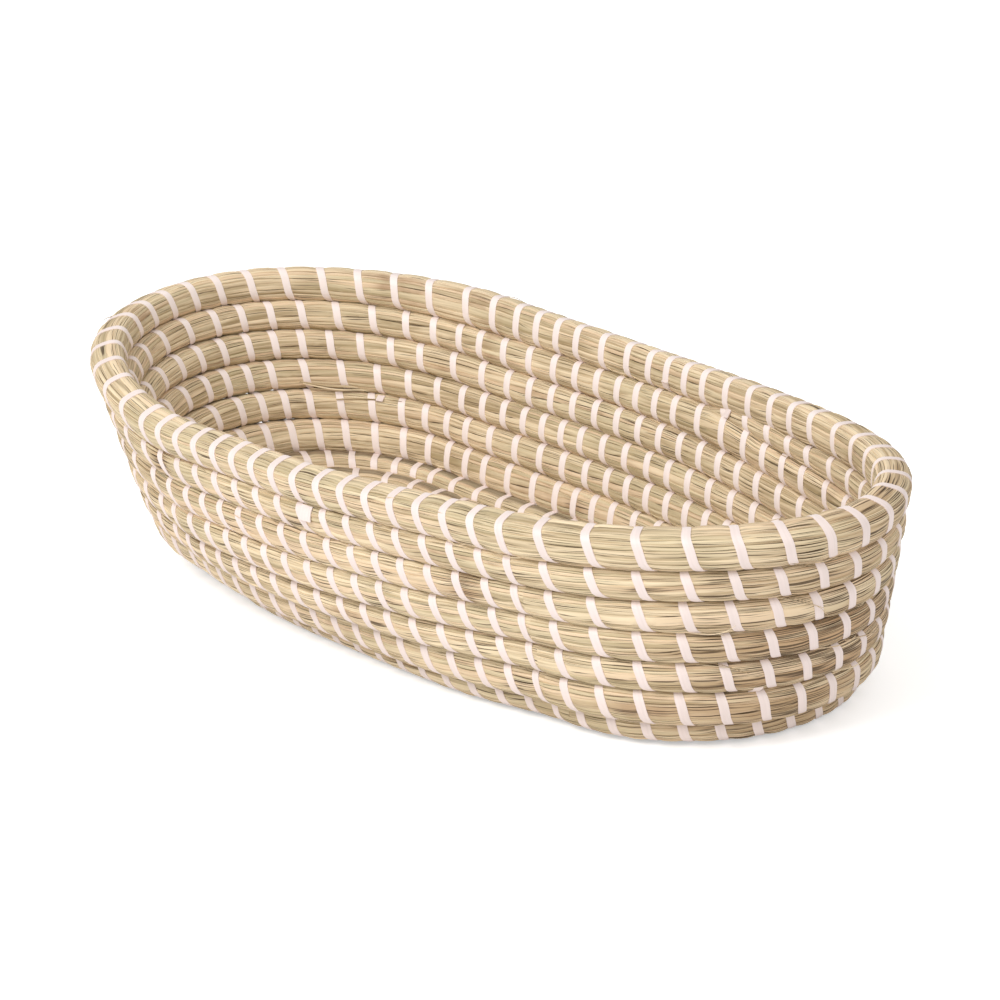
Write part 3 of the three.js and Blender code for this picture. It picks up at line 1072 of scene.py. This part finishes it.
@dataclass
class Strip:
    """The strip that winds round a length of the bundle, one turn for each stitch."""

    name: str
    nodes: tuple[str, ...]
    run: CoilRun
    start: float
    end: float
    top_taper: float = 0.22
    top_power: int = 5
    bottom_taper: float = 0.5
    bottom_power: int = 4
    width: float = 0.0029
    thickness: float = 0.00045
    proud: float = -0.0001
    crown: float = 0.00008
    turn_length: float = 0.045
    steps: int = 24
    across: int = 4
    look_ahead: float = 0.004
    slack: float = 1e-6
    profile: Profile = field(default_factory=Profile)

    def build(self, material: bpy.types.Material) -> bpy.types.Object:
        """Winds a flat blank round the bundle.

        Args:
            material: the white strip.

        Returns:
            The finished piece.
        """
        counts = np.interp([self.start, self.end], self.run.length, self.run.count)
        first, last = (math.ceil(count - self.slack) for count in counts)
        last = min(last, math.floor(self.run.count[-1]))
        turns = last - first
        rows = turns * self.steps
        piece = Workbench.blank(self.name, self.across, rows)
        column, row = Workbench.cells(piece, self.across, rows)
        wind = row / self.steps
        length, angle = self._line(first + wind)
        ahead_length, ahead_angle = self._line(first + wind + self.look_ahead)
        found = self.run.at(length)
        spot = self.profile.point(found, angle, 0 * angle)
        turned = self.profile.point(found, ahead_angle, 0 * angle)
        round_way = np.linalg.norm(turned - spot, axis=1)
        along_way = ahead_length - length
        step = np.hypot(round_way, along_way)
        under, over = np.clip(-np.sin(angle), 0, 1), np.clip(np.sin(angle), 0, 1)
        tapered = self.bottom_taper * under**self.bottom_power + self.top_taper * over**self.top_power
        side = (column / self.across - 0.5) * self.width * (1 - tapered)
        length = length + side * round_way / step
        turn_rate = (ahead_angle - angle) / np.maximum(round_way, 1e-9)
        angle = angle - side * along_way / step * turn_rate
        found = self.run.at(length)
        bowed = self.proud + self.crown * (1 - (2 * column / self.across - 1) ** 2)
        Workbench.place_points(piece, self.profile.point(found, angle, bowed))
        Workbench.keep(piece, "inner", np.clip(-np.cos(angle), 0, 1))
        Workbench.stretch_uv(piece, self.width * np.linspace(0, 1, self.across + 1), turns * self.turn_length)
        Workbench.thicken(piece, self.thickness)
        Workbench.face_outwards()
        Workbench.dress(piece, material, Slot.STRIP, *self.nodes)
        return piece

    def _line(self, count: Array) -> tuple[Array, Array]:
        """Middle line of the strip.

        Args:
            count: stitch counts, a whole number being the top of a stitch.

        Returns:
            Lengths along the coil and angles round the bundle.
        """
        whole = np.floor(count)
        way = count - whole
        outside = self.run.rhythm.outside(self.run.at(self.run.length_at(whole))["loop"])
        length = self.run.length_at(whole + self.run.rhythm.advance(way, outside))
        return length, math.pi / 2 - 2 * math.pi * count


@dataclass(frozen=True)
class Fibre:
    """A loose fibre: where it leaves the bundle, in loop coordinates and degrees, and how it runs on."""

    loop: float
    angle: float
    length: float
    turn: float
    lift: float
    radius: float = 0.0002


@dataclass(frozen=True)
class StripEnd:
    """A cut end of the strip that lies on the bundle, in loop coordinates and degrees."""

    loop: float
    first: float
    last: float
    advance: float
    width: float = 0.0028


@dataclass
class Fraying:
    """Loose fibres, and cut ends of the strip."""

    PHOTOGRAPHED: ClassVar[tuple[Fibre, ...]] = (
        Fibre(44.375, -30, 0.012, -40, 0.0016),
        Fibre(44.385, -42, 0.013, 30, 0.002),
        Fibre(44.405, -50, 0.01, 45, 0.0022),
        Fibre(44.41, -35, 0.012, -45, 0.0012),
        Fibre(44.33, -55, 0.016, 10, 0.001),
        Fibre(36.235, -45, 0.014, 30, 0.0018),
        Fibre(36.25, -60, 0.012, 55, 0.0014),
        Fibre(36.275, -55, 0.011, -10, 0.0025),
        Fibre(36.37, 65, 0.014, -60, 0.0012),
        Fibre(36.39, 60, 0.012, -70, 0.0016),
        Fibre(28.255, 60, 0.016, -30, 0.0014),
        Fibre(28.27, 70, 0.013, -50, 0.002),
        Fibre(24.18, -50, 0.012, -60, 0.0015),
        Fibre(24.19, -55, 0.01, -80, 0.001),
        Fibre(32.45, -50, 0.015, 25, 0.0016, 0.0003),
        Fibre(28.5, -55, 0.016, 20, 0.0018, 0.0003),
        Fibre(28.52, 55, 0.014, -30, 0.0014, 0.0003),
        Fibre(47.85, -45, 0.009, 25, 0.0016, 0.0003),
        Fibre(47.66, -45, 0.009, 20, 0.0014, 0.0003),
        Fibre(47.95, -50, 0.012, 15, 0.001),
        Fibre(30.21, -140, 0.024, -20, 0.0022, 0.0006),
        Fibre(30.19, -128, 0.027, -28, 0.0028, 0.0005),
        Fibre(30.2, -120, 0.022, -10, 0.0014, 0.0007),
        Fibre(26.16, 150, 0.02, 20, 0.001, 0.0005),
    )
    ENDS: ClassVar[tuple[StripEnd, ...]] = (
        StripEnd(39.492, 62, 8, 0.0008, 0.0056),
        StripEnd(28.356, -25, -70, -0.0015),
        StripEnd(45.43, -140, -165, 0.0004),
        StripEnd(41.24, 145, 190, 0.0006),
        StripEnd(26.17, 130, 160, 0.0004),
    )

    coil: CoilRun
    rim: CoilRun
    count: int = 64
    seed: int = 5
    wall_loops: tuple[float, float] = (21, 41)
    rim_loops: tuple[float, float] = (44, 48)
    chances: tuple[float, float] = (0.8, 0.2)
    angles: tuple[float, ...] = (-55, 55, 125, -125)
    angle_spread: float = 12.0
    lengths: tuple[float, float] = (0.005, 0.013)
    turns: tuple[float, float] = (-35, 35)
    lifts: tuple[float, float] = (0.0004, 0.0016)
    ages: tuple[float, float] = (0.0, 0.35)
    steps: int = 8
    sides: int = 3
    thinning: float = 0.6
    bend: float = 2.2
    bend_power: float = 1.5
    girth: float = 0.001
    strip_thickness: float = 0.0004
    end_across: int = 3
    end_along: int = 8
    end_length: float = 0.01
    end_proud: float = 0.0004
    end_curl: float = 0.0006
    profile: Profile = field(default_factory=Profile)

    def _run(self, loop: float) -> tuple[CoilRun, float]:
        """The run that a loop coordinate is on, and the length along it."""
        run = self.rim if loop >= 4 * self.rim.turns.start else self.coil
        return run, float(np.interp(loop, run.loop, run.length))

    def _fibres(self) -> list[Fibre]:
        """The photographed fibres, and others scattered over the wall and the rim."""
        rng = np.random.default_rng(self.seed)
        fibres = list(self.PHOTOGRAPHED)
        for _ in range(self.count):
            loop = rng.choice([rng.uniform(*self.wall_loops), rng.uniform(*self.rim_loops)], p=self.chances)
            angle = rng.choice(self.angles) + rng.normal(0, self.angle_spread)
            length = rng.uniform(*self.lengths) * rng.choice([-1, 1])
            fibres.append(Fibre(loop, angle, length, rng.uniform(*self.turns), rng.uniform(*self.lifts)))
        return fibres

    def build_fibres(self, material: bpy.types.Material) -> bpy.types.Object:
        """Makes every fibre and joins them.

        Args:
            material: the seagrass.

        Returns:
            The fibres as one piece.
        """
        rng = np.random.default_rng(self.seed + 1)
        made = [self._fibre(index, fibre, rng) for index, fibre in enumerate(self._fibres())]
        piece = Workbench.join(made, "loose_fibres")
        Workbench.dress(piece, material, Slot.SEAGRASS)
        return piece

    def _fibre(self, index: int, fibre: Fibre, rng: np.random.Generator) -> bpy.types.Object:
        """Rolls one fibre, which thins out and stands off more and more towards its end."""
        run, start = self._run(fibre.loop)
        piece = Workbench.blank(f"fibre_{index}", self.sides, self.steps)
        column, row = Workbench.cells(piece, self.sides, self.steps)
        way = row / self.steps
        found = run.at(start + fibre.length * way)
        radius = fibre.radius * (1 - self.thinning * way)
        turned = 2 * math.pi * (column % self.sides) / self.sides
        angle = np.radians(fibre.angle + fibre.turn * way) + radius * np.sin(turned) / found["half_height"]
        proud = fibre.lift * np.sin(way * self.bend) ** self.bend_power + radius * np.cos(turned)
        Workbench.place_points(piece, self.profile.point(found, angle, proud))
        Workbench.keep(piece, "tone", np.full(len(row), rng.uniform(-0.5, 1)))
        Workbench.keep(piece, "hue", np.full(len(row), rng.uniform(0, 1)))
        Workbench.keep(piece, "painted_crevice_shade", np.zeros(len(row)))
        Workbench.keep(piece, "aged", np.full(len(row), rng.choice(self.ages)))
        Workbench.stretch_uv(piece, self.girth * np.linspace(0, 1, self.sides + 1), abs(fibre.length))
        Workbench.close_tube()
        return piece

    def build_ends(self, material: bpy.types.Material) -> bpy.types.Object:
        """Makes the cut ends of the strip and joins them.

        Args:
            material: the white strip.

        Returns:
            The ends as one piece.
        """
        made = []
        across, along = self.end_across, self.end_along
        for index, end in enumerate(self.ENDS):
            run, start = self._run(end.loop)
            piece = Workbench.blank(f"strip_end_{index}", across, along)
            column, row = Workbench.cells(piece, across, along)
            way = row / along
            length = start + end.advance * way + (column / across - 0.5) * end.width
            angle = np.radians(end.first + (end.last - end.first) * way)
            proud = self.end_proud + self.end_curl * way**3
            Workbench.place_points(piece, self.profile.point(run.at(length), angle, proud))
            Workbench.stretch_uv(piece, end.width * np.linspace(0, 1, across + 1), self.end_length)
            Workbench.thicken(piece, self.strip_thickness)
            made.append(piece)
        piece = Workbench.join(made, "strip_ends")
        Workbench.dress(piece, material, Slot.STRIP)
        return piece


@dataclass
class Studio:
    """Floor, lamps, world and the camera at the photo's place."""

    target: Vector = field(default_factory=lambda: Vector((0.00062, 0.00247, 0.03907)))
    azimuth: float = 47.59
    elevation: float = 20.79
    roll: float = -0.98
    distance: float = 1.6806
    focal: float = 4.8958
    sensor: float = 36.0
    reach: float = 20.0
    floor_size: float = 8.0
    lamp_aim: Vector = field(default_factory=lambda: Vector((0, 0, 0.04)))
    world: float = 0.68

    def build(self) -> None:
        """Adds everything that isn't part of the basket."""
        self._floor()
        self._lamp("key", (-0.2, -1.35, 1.4), 22.0, 1.2)
        self._lamp("fill", (1.5, -0.5, 0.9), 5.0, 1.0)
        self._world()
        self._camera()

    def _floor(self) -> None:
        """Adds the floor."""
        Workbench.clear()
        bpy.ops.mesh.primitive_grid_add(x_subdivisions=4, y_subdivisions=4, size=self.floor_size)
        floor = bpy.context.object
        floor.name = "studio_floor"
        floor.data.materials.append(FloorFinish().build())

    def _lamp(self, name: str, place: tuple[float, float, float], power: float, size: float) -> None:
        """Adds a soft lamp that faces the basket."""
        Workbench.clear()
        bpy.ops.object.light_add(type="AREA", location=place)
        lamp = bpy.context.object
        lamp.name = name
        lamp.data.energy = power
        lamp.data.size = size
        lamp.rotation_euler = (Vector(place) - self.lamp_aim).to_track_quat("Z", "Y").to_euler()

    def _world(self) -> None:
        """Gives even light from all round, and white where the camera sees past the floor."""
        world = bpy.data.worlds.new("studio")
        bpy.context.scene.world = world
        world.use_nodes = True
        tree = world.node_tree
        sky = tree.nodes["Background"]
        path = tree.nodes.new("ShaderNodeLightPath")
        level = tree.nodes.new("ShaderNodeMapRange")
        level.inputs["To Min"].default_value = self.world
        tree.links.new(path.outputs["Is Camera Ray"], level.inputs["Value"])
        tree.links.new(level.outputs["Result"], sky.inputs["Strength"])
        sky.inputs["Color"].default_value = (1, 1, 1, 1)

    def _camera(self) -> None:
        """Adds the camera at the photo's angle."""
        turn, tilt, roll = (math.radians(value) for value in (self.azimuth, self.elevation, self.roll))
        back = Vector((math.sin(turn) * math.cos(tilt), -math.cos(turn) * math.cos(tilt), math.sin(tilt)))
        right = Vector((math.cos(turn), math.sin(turn), 0))
        up = back.cross(right)
        right, up = (
            right * math.cos(roll) + up * math.sin(roll),
            up * math.cos(roll) - right * math.sin(roll),
        )
        Workbench.clear()
        bpy.ops.object.camera_add()
        camera = bpy.context.object
        axes = Matrix((right, up, back)).transposed().to_4x4()
        camera.matrix_world = Matrix.Translation(self.target + back * self.distance) @ axes
        camera.data.sensor_width = self.sensor
        camera.data.lens = self.focal * self.sensor
        camera.data.clip_end = self.reach
        bpy.context.scene.camera = camera
        bpy.context.scene.view_settings.view_transform = "Standard"


@dataclass
class Basket:
    """The whole basket: the base, the wall's courses and the rim, each with its strip."""

    shape: BasketShape = field(default_factory=BasketShape)
    rhythm: StitchRhythm = field(default_factory=StitchRhythm)
    shift: Vector = field(default_factory=lambda: Vector((0.00383, 0.0021, 0)))
    base_stalks: int = 22
    wall_stalks: int = 26

    def build(self) -> list[bpy.types.Object]:
        """Builds every piece.

        Returns:
            The pieces.
        """
        rim_turn = self.shape.rim
        coil = CoilRun(self.shape, self.rhythm, self.shift, range(-1, rim_turn))
        rim = CoilRun(self.shape, self.rhythm, self.shift, range(rim_turn, rim_turn + 1))
        grass = SeagrassFinish().build()
        white = StripFinish().build()
        last_base = self.shape.base_courses - 1
        lengths = [
            ("base_inner", "base_coil", (), -1, last_base - 1),
            ("base_outer", "base_coil", ("base_binding",), last_base - 1, last_base + 1),
        ]
        for course in range(1, self.shape.wall_courses):
            turn = last_base + course
            stop = rim_turn if turn == rim_turn - 2 else turn + 1
            lengths.append((f"wall_{course}", "wall_coil", (f"wall_binding_{course}",), turn, stop))
        lengths.append(("rim", "rim_coil", ("rim_binding",), rim_turn, rim_turn + 1))
        pieces: list[bpy.types.Object] = []
        for name, node, bindings, first, last in lengths:
            run = rim if name == "rim" else coil
            start, end = run.turn_starts[first], run.turn_starts[last]
            stalks = self.base_stalks if node == "base_coil" else self.wall_stalks
            bundle = Bundle(f"{name}_bundle", node, run, start, end, stalks)
            strip = Strip(f"{name}_strip", bindings, run, start, end)
            if name == "rim":
                bundle.twist = 0.0
                bundle.period = run.stitches(start, end)
                strip.top_taper = 0.0
            pieces += [bundle.build(grass), strip.build(white)]
        fraying = Fraying(coil, rim)
        return [*pieces, fraying.build_fibres(grass), fraying.build_ends(white)]


def main() -> None:
    """Builds the basket and the studio, and reports each piece."""
    logging.basicConfig(level=logging.INFO, format="%(message)s")
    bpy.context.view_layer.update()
    for piece in Basket().build():
        LOG.info("%s: %d faces", piece.name, len(piece.data.polygons))
    Studio().build()


if __name__ == "__main__":
    main()
